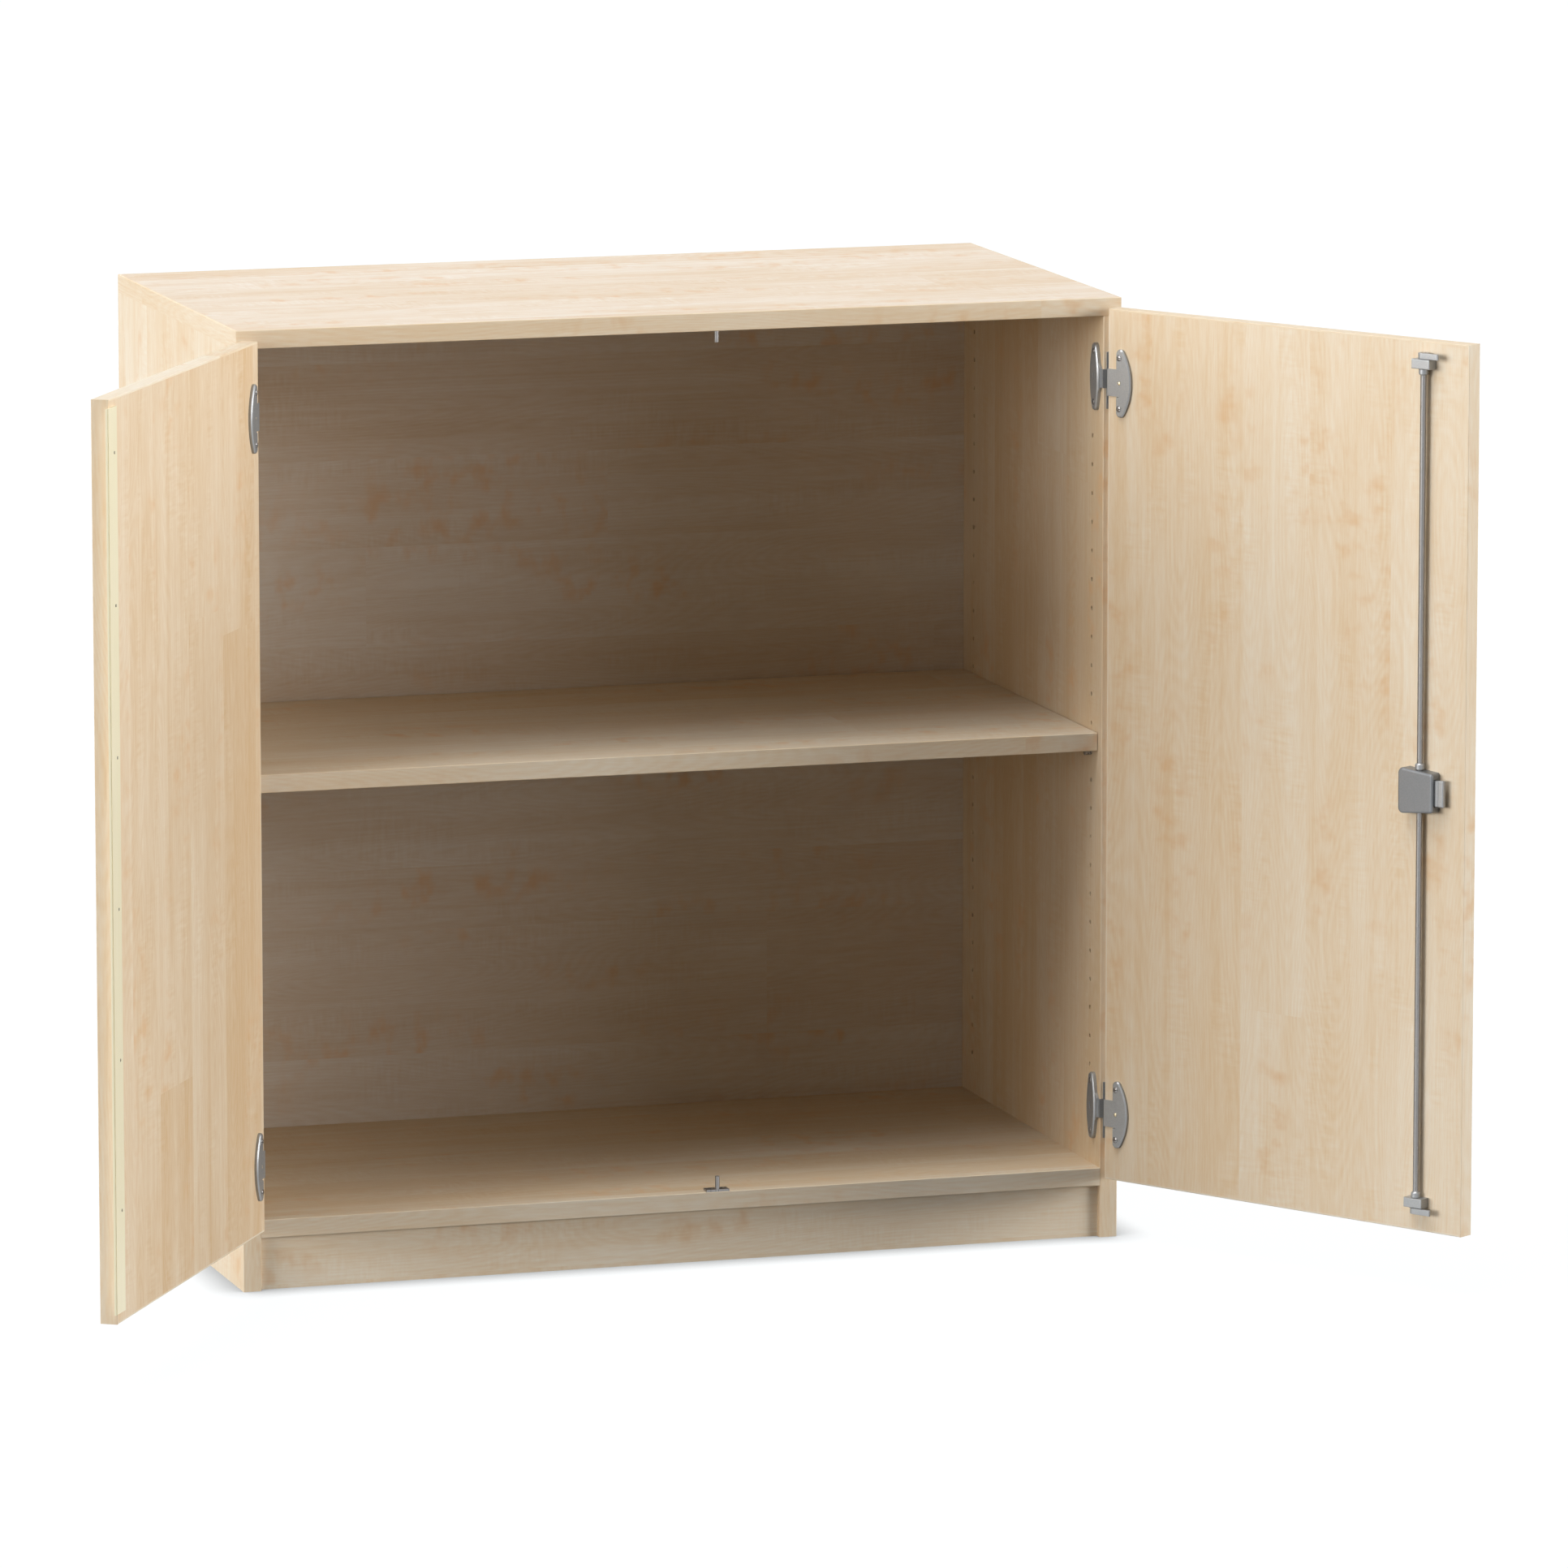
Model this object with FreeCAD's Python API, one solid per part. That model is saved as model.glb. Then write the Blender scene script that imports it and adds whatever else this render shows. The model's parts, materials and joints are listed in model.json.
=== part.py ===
import FreeCAD, Part
import math
import os

# Two-door office cabinet on a plinth, with one loose shelf and a rod lock on the right door.
# Millimetres and degrees. X runs to the right, Y from the front into the cabinet, Z up.
# The drawing has Y = 0 on the front of the carcass and shows the doors shut. At the end the doors are swung
# open to the rest angle, and everything is moved so that the origin lies on the floor at the plinth's front.

# Carcass
carcass_width = 1000.0
carcass_depth = 528.0
carcass_height = 1050.0
carcass_board = 20.0
edge_band = 2.0
edge_round = 0.8
round_limit = 0.8
plinth_height = 58.5
plinth_recess = 8.0
rail_inset = 8.0
back_board = 8.0
back_inset = 28.0
groove_depth = 8.0
groove_play = 0.2

# Dowels
dowel_radius = 4.0
dowel_length = 32.0
dowel_in_face = 12.0
dowel_play = 0.05
dowel_end_play = 0.5
dowel_margin = 60.0
dowels_per_joint = 4

# Rows of holes for the shelf pins
pin_hole_radius = 2.5
pin_hole_depth = 12.0
pin_hole_pitch = 32.0
pin_hole_setback = 37.0
pin_hole_first = 46.8
pin_hole_top_margin = 18.0
shelf_hole_count = 13

# Shelf and its pins
shelf_board = 20.0
shelf_end_play = 1.0
shelf_back_gap = 2.0
shelf_lock_gap = 1.5
shelf_pin_head_radius = 4.0
shelf_pin_head_length = 8.0
shelf_pin_end_gap = 2.0

# Doors
door_board = 19.0
door_side_reveal = 8.0
door_top_reveal = 10.0
door_bottom_lap = 9.0
door_centre_gap = 2.0
rest_open_angle = 122.7
widest_open_angle = 125.0

# Hinges
hinge_from_door_top = 81.0
hinge_from_door_bottom = 74.5
hinge_axis_inset = 2.52
hinge_axis_depth = 9.55
hinge_plate = 1.2
hinge_plate_gap = 0.6
hinge_pin_radius = 2.0
knuckle_gap = 0.4
barrel_height = 63.0
running_play = 0.05
pocket_play = 0.4

# Leaf of a hinge on the cabinet side
side_leaf_width = 26.0
side_leaf_height = 75.0
side_leaf_thickness = 5.0
side_leaf_setback = 8.0
side_leaf_tip_radius = 7.0
side_leaf_screw_spacing = 56.0
side_leaf_rise = 2.0
arm_height = 21.0
arm_shoulder = 9.0
arm_hub_thickness = 3.2
arm_hub_setback = 4.0
arm_thickness = 1.6
arm_lap = 5.0
front_plate_inset = 3.0
slot_length = 8.0
slot_width = 2.4
slot_depth = 1.5

# Leaf and tongue of a hinge on the door
door_leaf_width = 20.5
door_leaf_height = 75.0
door_leaf_thickness = 4.0
door_leaf_tip_radius = 5.5
door_leaf_screw_inset = 4.6
door_leaf_screw_spacing = 56.0
leaf_rim = 1.4
tongue_height = 30.0
tongue_arm_gap = 0.6
tongue_lap = 1.2
tongue_pad_length = 5.2
tongue_pad_thickness = 2.6
tongue_pad_radius = 4.0
tongue_play = 0.3
adjuster_head_radius = 2.2
adjuster_head_height = 1.3
adjuster_shank_radius = 1.4
adjuster_length = 8.0

# Countersunk screws
screw_head_radius = 3.4
screw_head_height = 2.0
screw_shank_radius = 1.75
screw_length = 16.0
screw_play = 0.05
screw_slot_width = 0.8
screw_slot_depth = 0.7

# Closing strip on the left door
strip_thickness = 2.5
strip_base_width = 19.5
strip_lip_width = 11.2
strip_lip_gap = 0.5
strip_groove_width = 2.0
strip_groove_depth = 1.2
strip_groove_from_tip = 1.5
strip_from_door_top = 8.5
strip_from_door_bottom = 12.0
strip_screw_first = 47.5
strip_screw_pitch = 159.0
strip_screw_inset = 11.3
strip_screw_count = 6
strip_screw_head_radius = 1.7
strip_screw_head_height = 0.9
strip_screw_shank_radius = 0.9
strip_screw_length = 12.0
strip_screw_slot_width = 0.5
strip_screw_slot_depth = 0.4

# Rods of the lock
rod_from_free_edge = 55.7
rod_radius = 3.25
collar_radius = 5.2
collar_height = 6.5
collar_gap = 0.4
collar_chamfer = 1.5

# Lock case, its base plate and bolt
lock_above_door_bottom = 483.7
case_from_free_edge = 33.5
case_width = 46.0
case_tall_side = 51.0
case_short_side = 42.4
case_wall = 1.5
case_least_corner = 0.6
case_corner_tall = 6.0
case_corner_short = 3.2
case_front_round = 2.4
base_plate = 1.5
base_plate_play = 0.2
rod_passage_play = 0.4
bolt_reach = 11.5
bolt_head_length = 7.0
bolt_tail_length = 6.0
bolt_height = 29.0
bolt_thickness = 5.0
bolt_offset = 5.5
bolt_neck_step = 0.5
bolt_chamfer = 1.0
bolt_play = 0.25
base_screw_inset_x = 6.5
base_screw_inset_z = 8.0
base_screw_length = 13.0

# Drive of the lock and the knob on the outside
hub_radius = 5.0
hub_height = 22.0
hub_back_gap = 0.5
hub_front_gap = 1.5
drum_radius = 6.0
drum_end_gap = 0.4
mesh_gap = 0.6
spindle_radius = 4.0
spindle_hole_play = 0.5
rosette_radius = 18.0
rosette_thickness = 2.0
rosette_round = 1.2
knob_gap = 0.4
knob_neck_radius = 9.0
knob_neck_length = 9.0
knob_radius = 17.0
knob_head_length = 14.0
knob_round = 2.5
knob_bore_depth = 8.0
cylinder_radius = 6.0
cylinder_depth = 8.0
cylinder_proud = 0.6
key_slot_width = 1.6
key_slot_length = 7.0
key_slot_depth = 3.0

# Guides and hooks at the ends of the rods
guide_width = 23.8
guide_wall = 3.15
guide_height = 10.6
guide_from_door_top = 18.4
guide_from_door_bottom = 27.3
guide_edge_round = 1.0
guide_peg_radius = 2.5
guide_peg_length = 8.0
guide_peg_spacing = 15.0
hook_gap = 0.4
hook_height = 6.4
hook_door_gap = 1.0
hook_finger_thickness = 3.4
hook_tip_round = 1.3
hook_overreach = 3.5

# Strike pins in the carcass
strike_reach = 19.0
strike_before_rod = 0.5
strike_radius = 2.5
strike_hang = 12.5
strike_rise = 17.0
strike_shank_radius = 1.4
strike_shank_length = 12.0
strike_finger_gap = 0.5
strike_plate_width = 26.0
strike_plate_depth = 13.0
strike_plate_thickness = 2.5
strike_plate_front = 0.6
strike_screw_spacing = 17.0
strike_screw_behind_pin = 4.0
strike_screw_length = 14.0

# Places worked out from the sizes above
half_width = carcass_width / 2
inner_x = half_width - carcass_board
ceiling_z = carcass_height - carcass_board
floor_z = plinth_height + carcass_board
back_y = carcass_depth - back_inset - back_board

hinge_edge_x = half_width - door_side_reveal
free_edge_x = door_centre_gap / 2
door_top_z = carcass_height - door_top_reveal
door_bottom_z = floor_z - door_bottom_lap
door_gap = 2 * hinge_plate + hinge_plate_gap
inner_face_y = -door_gap
outer_face_y = inner_face_y - door_board

knuckle_radius = hinge_axis_inset + hinge_plate
axis_x = hinge_edge_x - hinge_axis_inset
axis_y = inner_face_y - hinge_axis_depth
tongue_pad_start = hinge_edge_x - inner_x + arm_thickness + tongue_arm_gap
door_leaf_start = tongue_pad_start - tongue_lap
hinge_heights = {
    "upper": door_top_z - hinge_from_door_top,
    "lower": door_bottom_z + hinge_from_door_bottom,
}

rod_offset = base_plate + hub_back_gap + hub_radius
rod_x = free_edge_x + rod_from_free_edge
rod_y = inner_face_y + rod_offset
case_depth = rod_offset + hub_radius + hub_front_gap + case_wall
lock_z = door_bottom_z + lock_above_door_bottom
case_short_x = free_edge_x + case_from_free_edge
case_tall_x = case_short_x + case_width
spindle_x = rod_x + hub_radius + mesh_gap + drum_radius
base_front_y = inner_face_y + base_plate
drum_back_y = base_front_y + drum_end_gap
drum_length = case_depth - case_wall - base_plate - 2 * drum_end_gap
guide_depth = rod_offset + rod_radius + guide_wall
hook_hub_radius = rod_offset - hook_door_gap
upper_guide_top = door_top_z - guide_from_door_top
upper_guide_bottom = upper_guide_top - guide_height
lower_guide_bottom = door_bottom_z + guide_from_door_bottom
lower_guide_top = lower_guide_bottom + guide_height
upper_hook_z = upper_guide_top + hook_gap
lower_hook_z = lower_guide_bottom - hook_gap - hook_height
strike_x = rod_x - strike_reach
strike_y = rod_y - strike_before_rod

shelf_front_y = inner_face_y + case_depth + shelf_lock_gap
shelf_pin_z = floor_z + pin_hole_first + shelf_hole_count * pin_hole_pitch
shelf_pin_depth = pin_hole_depth - shelf_pin_end_gap
shelf_bottom_z = shelf_pin_z + shelf_pin_head_radius

RIGHT = 1
LEFT = -1
SAME_PLACE = 0.001


def vector(x, y, z):
    return FreeCAD.Vector(x, y, z)


X_AXIS = vector(1, 0, 0)
Y_AXIS = vector(0, 1, 0)
Z_AXIS = vector(0, 0, 1)


def box(x_range, y_range, z_range):
    """A block between two values on each axis."""
    low = vector(min(x_range), min(y_range), min(z_range))
    high = vector(max(x_range), max(y_range), max(z_range))
    size = high - low
    return Part.makeBox(size.x, size.y, size.z, low)


def cylinder(radius, start, direction, length):
    return Part.makeCylinder(radius, length, start, direction)


def fuse(pieces):
    """One solid from pieces that touch or overlap."""
    return pieces[0].multiFuse(pieces[1:]).removeSplitter()


def group(solids):
    return Part.makeCompound(solids)


def mirrored(shape):
    return shape.mirror(vector(0, 0, 0), X_AXIS)


def edges_at(shape, **places):
    """The edges that lie wholly at the given X, Y or Z values. Two values give a line, one a plane."""
    found = []
    for edge in shape.Edges:
        bounds = edge.BoundBox
        ends = [(getattr(bounds, axis + "Min"), getattr(bounds, axis + "Max")) for axis in places]
        misses = [max(abs(low - at), abs(high - at)) for (low, high), at in zip(ends, places.values())]
        if max(misses) < SAME_PLACE:
            found.append(edge)
    return found


def rounded(shape, radius, edges, wall):
    """Round edges, by no more than the wall beside them can take."""
    return shape.makeFillet(min(radius, round_limit * wall), edges)


def bevelled(shape, size, edges, wall):
    """Bevel edges, by no more than the wall beside them can take."""
    return shape.makeChamfer(min(size, round_limit * wall), edges)


def arc(centre, radius, start, end, place):
    """An arc between two angles in a flat outline. place turns a flat point into a point in space."""
    points = []
    for angle in (start, (start + end) / 2, end):
        flat_u = centre[0] + radius * math.cos(angle)
        flat_v = centre[1] + radius * math.sin(angle)
        points.append(place(flat_u, flat_v))
    return Part.Arc(points[0], points[1], points[2]).toShape()


def oval_face(width, height, tip_radius, place):
    """An oval of two long arcs with round tips, centred on the flat origin."""
    half = width / 2
    tip = height / 2 - tip_radius
    long_radius = (tip ** 2 + half ** 2 - tip_radius ** 2) / (2 * (half - tip_radius))
    shift = long_radius - half
    turn = math.atan2(tip, shift)
    edges = [
        arc((-shift, 0), long_radius, -turn, turn, place),
        arc((0, tip), tip_radius, turn, math.pi - turn, place),
        arc((shift, 0), long_radius, math.pi - turn, math.pi + turn, place),
        arc((0, -tip), tip_radius, math.pi + turn, 2 * math.pi - turn, place),
    ]
    return Part.Face(Part.Wire(edges))


def half_oval_face(width, height, tip_radius, place):
    """A D shape: one straight side at zero and one long arc, with round corners."""
    tip = height / 2 - tip_radius
    reach = width - tip_radius
    long_radius = (reach ** 2 + tip ** 2 - tip_radius ** 2) / (2 * (width - 2 * tip_radius))
    centre = width - long_radius
    turn = math.atan2(tip, tip_radius - centre)
    edges = [
        Part.makeLine(place(0, -tip), place(0, tip)),
        arc((tip_radius, tip), tip_radius, math.pi, turn, place),
        arc((centre, 0), long_radius, turn, -turn, place),
        arc((tip_radius, -tip), tip_radius, -turn, -math.pi, place),
    ]
    return Part.Face(Part.Wire(edges))


# Kinds of countersunk screw: head radius, head height, shank radius, length, slot width and slot depth
main_slot = (screw_slot_width, screw_slot_depth)
main_screw = (screw_head_radius, screw_head_height, screw_shank_radius, screw_length) + main_slot
base_screw = (screw_head_radius, base_plate, screw_shank_radius, base_screw_length) + main_slot
strike_screw = (screw_head_radius, screw_head_height, screw_shank_radius, strike_screw_length) + main_slot
adjuster_form = (adjuster_head_radius, adjuster_head_height, adjuster_shank_radius, adjuster_length)
adjuster_screw = adjuster_form + main_slot
strip_screw = (
    strip_screw_head_radius,
    strip_screw_head_height,
    strip_screw_shank_radius,
    strip_screw_length,
    strip_screw_slot_width,
    strip_screw_slot_depth,
)


def screws(heads, direction, kind):
    """Screws with straight slots, driven in a direction from the middle of each head."""
    head_radius, head_height, shank_radius, length, slot_width, slot_depth = kind
    cone = Part.makeCone(head_radius, shank_radius, head_height)
    shank = cylinder(shank_radius, vector(0, 0, 0), Z_AXIS, length)
    slot = box((-head_radius, head_radius), (-slot_width / 2, slot_width / 2), (0, slot_depth))
    solid = fuse([cone, shank]).cut(slot)
    turn = FreeCAD.Rotation(Z_AXIS, direction)
    return [solid.transformed(FreeCAD.Placement(head, turn).toMatrix()) for head in heads]


def screw_holes(heads, direction, kind):
    """Holes that take such screws with a little play, open above the head."""
    head_radius, head_height, shank_radius, length = kind[:4]
    wide = head_radius + screw_play
    narrow = shank_radius + screw_play
    holes = []
    for head in heads:
        cone = Part.makeCone(wide, narrow, head_height, head, direction)
        shank = cylinder(narrow, head, direction, length + screw_play)
        mouth = cylinder(wide, head - direction * head_height, direction, head_height)
        holes.append(fuse([cone, shank, mouth]))
    return holes


# Edge bands

def front_band(x_range, z_range, front_y=0.0):
    """Band on a front edge, with its long front edges eased."""
    strip = box(x_range, (front_y, front_y + edge_band), z_range)
    if abs(x_range[1] - x_range[0]) > abs(z_range[1] - z_range[0]):
        eased = edges_at(strip, Y=front_y, Z=z_range[0]) + edges_at(strip, Y=front_y, Z=z_range[1])
    else:
        eased = edges_at(strip, Y=front_y, X=x_range[0]) + edges_at(strip, Y=front_y, X=x_range[1])
    return rounded(strip, edge_round, eased, edge_band)


def carcass_bands():
    """Bands on the front edges of top, sides and bottom, and on both ends of the top."""
    solids = [front_band((-half_width, half_width), (ceiling_z, carcass_height))]
    solids.append(front_band((-inner_x, inner_x), (plinth_height, floor_z)))
    for side in (LEFT, RIGHT):
        solids.append(front_band((side * inner_x, side * half_width), (0, ceiling_z)))
        end = box(
            (side * (half_width - edge_band), side * half_width),
            (edge_band, carcass_depth),
            (ceiling_z, carcass_height),
        )
        eased = edges_at(end, X=side * half_width, Z=carcass_height)
        solids.append(rounded(end, edge_round, eased, edge_band))
    return group([band.cut(upper_strike_hole()) for band in solids])


# Dowels between the boards

def spread(start, end, count):
    """Evenly spaced values from start to end."""
    step = (end - start) / (count - 1)
    return [start + step * i for i in range(count)]


def dowel_places():
    """Start point and direction of every dowel. Each starts in the face of one board."""
    rows = spread(dowel_margin, back_y - dowel_margin, dowels_per_joint)
    side_mid = half_width - carcass_board / 2
    places = []
    for side in (LEFT, RIGHT):
        inward = vector(-side, 0, 0)
        in_side = side * (inner_x + dowel_in_face)
        for y in rows:
            places.append((vector(side * side_mid, y, ceiling_z + dowel_in_face), -Z_AXIS))
            places.append((vector(in_side, y, plinth_height + carcass_board / 2), inward))
        for y in (plinth_recess + carcass_board / 2, carcass_depth - rail_inset - carcass_board / 2):
            places.append((vector(in_side, y, plinth_height / 2), inward))
    return places


def dowels():
    return group([cylinder(dowel_radius, start, way, dowel_length) for start, way in dowel_places()])


def dowel_holes():
    holes = []
    for start, way in dowel_places():
        length = dowel_length + 2 * dowel_end_play
        holes.append(cylinder(dowel_radius + dowel_play, start - way * dowel_end_play, way, length))
    return holes


# Boards of the carcass

def back_groove():
    """The groove that takes the back board, cut in sides, top and bottom at once."""
    y_range = (back_y - groove_play, back_y + back_board + groove_play)
    reach = groove_depth + groove_play
    return box((-inner_x - reach, inner_x + reach), y_range, (floor_z - reach, ceiling_z + reach))


def pin_hole_heights():
    room = ceiling_z - pin_hole_top_margin - floor_z - pin_hole_first
    count = int(room / pin_hole_pitch) + 1
    return [floor_z + pin_hole_first + pin_hole_pitch * i for i in range(count)]


def pin_hole_rows():
    return (pin_hole_setback, back_y - pin_hole_setback)


def side_panel(side, drillings):
    panel = box((side * inner_x, side * half_width), (edge_band, carcass_depth), (0, ceiling_z))
    tools = [back_groove()] + drillings
    outward = vector(side, 0, 0)
    for y in pin_hole_rows():
        for z in pin_hole_heights():
            tools.append(cylinder(pin_hole_radius, vector(side * inner_x, y, z), outward, pin_hole_depth))
    return panel.cut(tools)


def top_panel(drillings):
    end = half_width - edge_band
    panel = box((-end, end), (edge_band, carcass_depth), (ceiling_z, carcass_height))
    return panel.cut([back_groove()] + drillings)


def bottom_panel(drillings):
    panel = box((-inner_x, inner_x), (edge_band, carcass_depth), (plinth_height, floor_z))
    return panel.cut([back_groove()] + drillings)


def back_panel():
    """Back board with its four edges in the groove."""
    reach = groove_depth
    x_range = (-inner_x - reach, inner_x + reach)
    return box(x_range, (back_y, back_y + back_board), (floor_z - reach, ceiling_z + reach))


def plinth(drillings):
    y_range = (plinth_recess, plinth_recess + carcass_board)
    return box((-inner_x, inner_x), y_range, (0, plinth_height)).cut(drillings)


def rear_rail(drillings):
    rear = carcass_depth - rail_inset
    return box((-inner_x, inner_x), (rear - carcass_board, rear), (0, plinth_height)).cut(drillings)


# Shelf and its pins

def shelf():
    end = inner_x - shelf_end_play
    y_range = (shelf_front_y + edge_band, back_y - shelf_back_gap)
    return box((-end, end), y_range, (shelf_bottom_z, shelf_bottom_z + shelf_board))


def shelf_band():
    end = inner_x - shelf_end_play
    return front_band((-end, end), (shelf_bottom_z, shelf_bottom_z + shelf_board), shelf_front_y)


def shelf_pins():
    """Four pins with a round head under the shelf."""
    solids = []
    for side in (LEFT, RIGHT):
        inward = vector(-side, 0, 0)
        for y in pin_hole_rows():
            face = vector(side * inner_x, y, shelf_pin_z)
            peg = cylinder(pin_hole_radius - running_play, face, -inward, shelf_pin_depth)
            head = cylinder(shelf_pin_head_radius, face, inward, shelf_pin_head_length)
            solids.append(fuse([peg, head]))
    return group(solids)


# Hinges, drawn for the right door. The left ones are mirrored.

def side_leaf_screws(z):
    """Head points of the two screws of a cabinet-side leaf."""
    y = side_leaf_setback + side_leaf_width / 2
    x = inner_x - side_leaf_thickness
    mid_z = z + side_leaf_rise
    half = side_leaf_screw_spacing / 2
    return [vector(x, y, mid_z - half), vector(x, y, mid_z + half)]


def arm_hub(mid_z):
    """Thick root of the arm. It widens with a shoulder on both sides towards the leaf."""
    root = side_leaf_setback + arm_lap
    narrow = arm_height / 2
    wide = narrow + arm_shoulder
    outline = ((arm_hub_setback, -narrow), (arm_hub_setback, narrow), (root, wide), (root, -wide))
    corners = [vector(inner_x, y, mid_z + v) for y, v in outline]
    face = Part.Face(Part.makePolygon(corners + corners[:1]))
    return face.extrude(vector(-arm_hub_thickness, 0, 0))


def side_leaf(z):
    """Oval leaf on the side's inner face, stepped arm round the edge, front plate, webs and two knuckles."""
    mid_y = side_leaf_setback + side_leaf_width / 2
    mid_z = z + side_leaf_rise
    outer_x = inner_x - side_leaf_thickness

    def place(u, v):
        return vector(inner_x, mid_y + u, mid_z + v)

    oval = oval_face(side_leaf_width, side_leaf_height, side_leaf_tip_radius, place)
    leaf = oval.extrude(vector(-side_leaf_thickness, 0, 0))
    leaf = bevelled(leaf, leaf_rim, edges_at(leaf, X=outer_x), side_leaf_thickness)

    arm_z = (mid_z - arm_height / 2, mid_z + arm_height / 2)
    arm_back = side_leaf_setback + arm_lap
    front = -hinge_plate
    plate_x = inner_x + front_plate_inset
    arm = box((inner_x - arm_thickness, inner_x), (front, arm_back), arm_z)
    turn = box((inner_x - arm_thickness, plate_x), (front, 0), arm_z)
    web_x = axis_x + knuckle_radius
    half_barrel = barrel_height / 2
    plate = box((plate_x, web_x), (front, 0), (z - half_barrel, z + half_barrel))
    pieces = [leaf, arm_hub(mid_z), arm, turn, plate]
    knuckle_start = tongue_height / 2 + knuckle_gap
    for way in (-1, 1):
        z_range = (z + way * knuckle_start, z + way * half_barrel)
        pieces.append(box((web_x - hinge_plate, web_x), (axis_y, 0), z_range))
        low = vector(axis_x, axis_y, min(z_range))
        pieces.append(cylinder(knuckle_radius, low, Z_AXIS, half_barrel - knuckle_start))
    solid = fuse(pieces)

    slot_y = (mid_y - slot_width / 2, mid_y + slot_width / 2)
    slot_z = (mid_z - slot_length / 2, mid_z + slot_length / 2)
    slot = box((outer_x, outer_x + slot_depth), slot_y, slot_z)
    return solid.cut([pin_bore(z), slot] + screw_holes(side_leaf_screws(z), X_AXIS, main_screw))


def pin_bore(z):
    low = vector(axis_x, axis_y, z - barrel_height)
    return cylinder(hinge_pin_radius + running_play, low, Z_AXIS, 2 * barrel_height)


def hinge_pin(z):
    half = barrel_height / 2
    return cylinder(hinge_pin_radius, vector(axis_x, axis_y, z - half), Z_AXIS, barrel_height)


def tongue_pad_end():
    return tongue_pad_start + tongue_pad_length


def door_leaf_screws(z):
    """Head points of the two screws of a door leaf."""
    x = hinge_edge_x - door_leaf_start - door_leaf_screw_inset
    y = inner_face_y + door_leaf_thickness
    half = door_leaf_screw_spacing / 2
    return [vector(x, y, z - half), vector(x, y, z + half)]


def adjuster_head(z):
    pad_mid = tongue_pad_start + tongue_pad_length / 2
    return vector(hinge_edge_x - pad_mid, inner_face_y + tongue_pad_thickness, z)


def tongue_pad(z, play, thickness):
    """Pad at the tongue's inner end, with two round corners. With play it is the notch that takes it."""
    near_x = hinge_edge_x - tongue_pad_start + play
    far_x = hinge_edge_x - tongue_pad_end() - play
    half = tongue_height / 2 + play
    pad = box((far_x, near_x), (inner_face_y, inner_face_y + thickness), (z - half, z + half))
    corners = edges_at(pad, X=far_x, Z=z - half) + edges_at(pad, X=far_x, Z=z + half)
    return rounded(pad, tongue_pad_radius, corners, tongue_pad_length)


def door_leaf(z):
    """D-shaped leaf with a bevelled rim, and a notch in its straight side for the tongue."""
    start_x = hinge_edge_x - door_leaf_start
    top_y = inner_face_y + door_leaf_thickness

    def place(u, v):
        return vector(start_x - u, inner_face_y, z + v)

    face = half_oval_face(door_leaf_width, door_leaf_height, door_leaf_tip_radius, place)
    leaf = face.extrude(vector(0, door_leaf_thickness, 0))
    leaf = bevelled(leaf, leaf_rim, edges_at(leaf, Y=top_y), door_leaf_thickness)
    half = tongue_height / 2 + tongue_play
    pad_notch = tongue_pad(z, tongue_play, door_leaf_thickness)
    notch_end = hinge_edge_x - tongue_pad_start
    mouth = box((notch_end, hinge_edge_x), (inner_face_y, top_y), (z - half, z + half))
    return leaf.cut([pad_notch, mouth] + screw_holes(door_leaf_screws(z), -Y_AXIS, main_screw))


def tongue(z):
    """Plate from the door leaf over the door's edge, with the middle knuckle."""
    half = tongue_height / 2
    z_range = (z - half, z + half)
    plate_top = inner_face_y + hinge_plate
    lip_x = hinge_edge_x + hinge_plate
    plate = box((hinge_edge_x - tongue_pad_start, lip_x), (inner_face_y, plate_top), z_range)
    web = box((hinge_edge_x, lip_x), (axis_y, plate_top), z_range)
    bent = fuse([plate, web])
    bent = rounded(bent, hinge_plate, edges_at(bent, X=lip_x, Y=plate_top), hinge_plate)
    knuckle = cylinder(knuckle_radius, vector(axis_x, axis_y, z - half), Z_AXIS, tongue_height)
    solid = fuse([bent, knuckle, tongue_pad(z, 0, tongue_pad_thickness)])
    return solid.cut([pin_bore(z)] + screw_holes([adjuster_head(z)], -Y_AXIS, adjuster_screw))


def hinge_pocket(z):
    """Round pocket in the door's edge. It clears the web of the cabinet leaf at the widest opening."""
    turn = math.radians(widest_open_angle)
    along = (hinge_axis_inset - knuckle_radius * math.cos(turn)) / math.sin(turn)
    radius = math.hypot(knuckle_radius, along) + pocket_play
    half = barrel_height / 2 + pocket_play
    return cylinder(radius, vector(axis_x, axis_y, z - half), Z_AXIS, 2 * half)


# Doors, drawn shut on the right-hand side

def door_drillings():
    """Pockets and screw holes that both doors have for their hinges."""
    tools = []
    for z in hinge_heights.values():
        tools.append(hinge_pocket(z))
        tools += screw_holes([adjuster_head(z)], -Y_AXIS, adjuster_screw)
        tools += screw_holes(door_leaf_screws(z), -Y_AXIS, main_screw)
    return tools


def door_panel(drillings):
    x_range = (free_edge_x + edge_band, hinge_edge_x - edge_band)
    z_range = (door_bottom_z + edge_band, door_top_z - edge_band)
    return box(x_range, (outer_face_y, inner_face_y), z_range).cut(drillings)


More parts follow.
